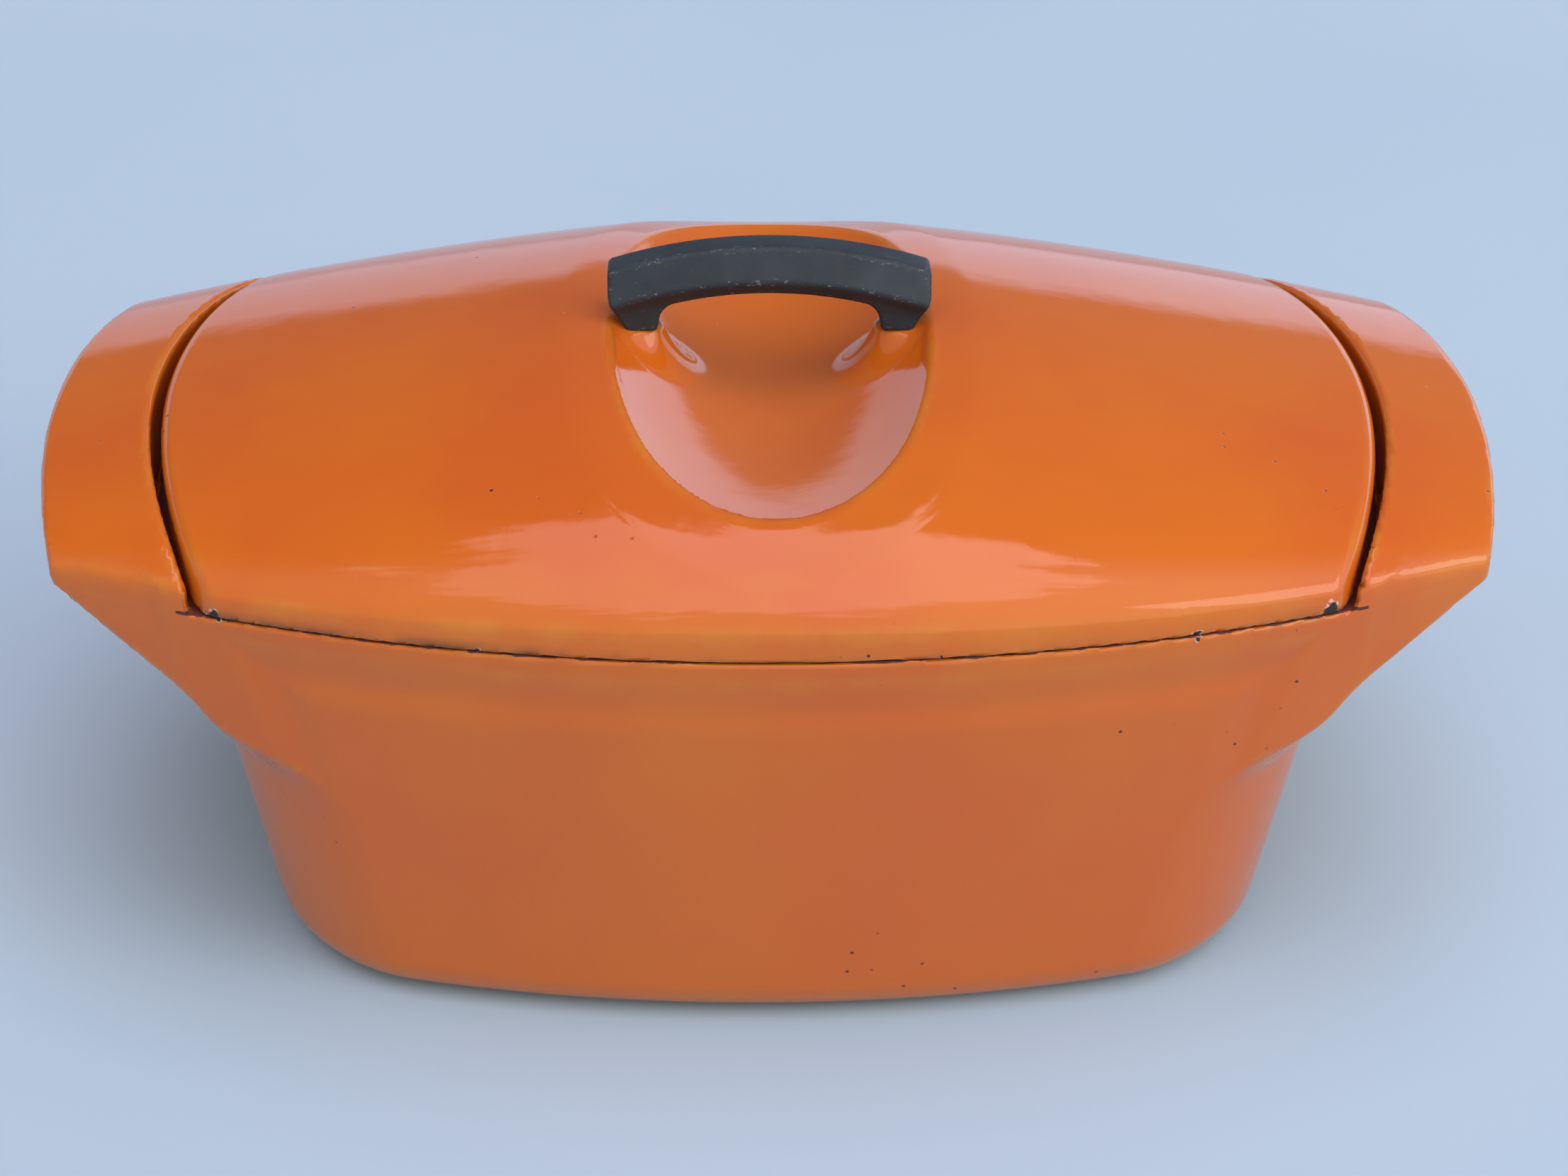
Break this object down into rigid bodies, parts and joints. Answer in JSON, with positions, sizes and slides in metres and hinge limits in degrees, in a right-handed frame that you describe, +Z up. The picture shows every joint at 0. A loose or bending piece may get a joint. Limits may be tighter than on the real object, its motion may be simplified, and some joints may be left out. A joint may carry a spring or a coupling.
{
  "type": "lidded cast iron casserole",
  "caption": "Boat-shaped enamelled cast iron casserole with wing grips, a vaulted lift-off lid and a black bridge handle over a saddle recess.",
  "frame": {"origin": "on the supporting plane, under the middle of the base", "axes": "+X along the long side between the two wing grips, -Y out of the front long side, +Z up"},
  "size_m": [0.33, 0.204, 0.1537],
  "materials": {
    "enamel": "glossy orange vitreous enamel over cast iron",
    "phenolic": "moulded black phenolic with a worn satin surface",
    "brass": "machined",
    "steel": "plated"
  },
  "bodies": {
    "pot": {"pot": "enamel"},
    "lid": {"lid": "enamel", "lid_handle": "phenolic", "handle_insert_left": "brass", "handle_insert_right": "brass", "handle_screw_left": "steel", "handle_screw_right": "steel", "handle_washer_left": "steel", "handle_washer_right": "steel"}
  },
  "joints": [
    {"name": "lid_lift", "type": "slide", "parent": "pot", "child": "lid", "axis": [0, 0, 1], "range_m": [0, 0.12]}
  ]
}
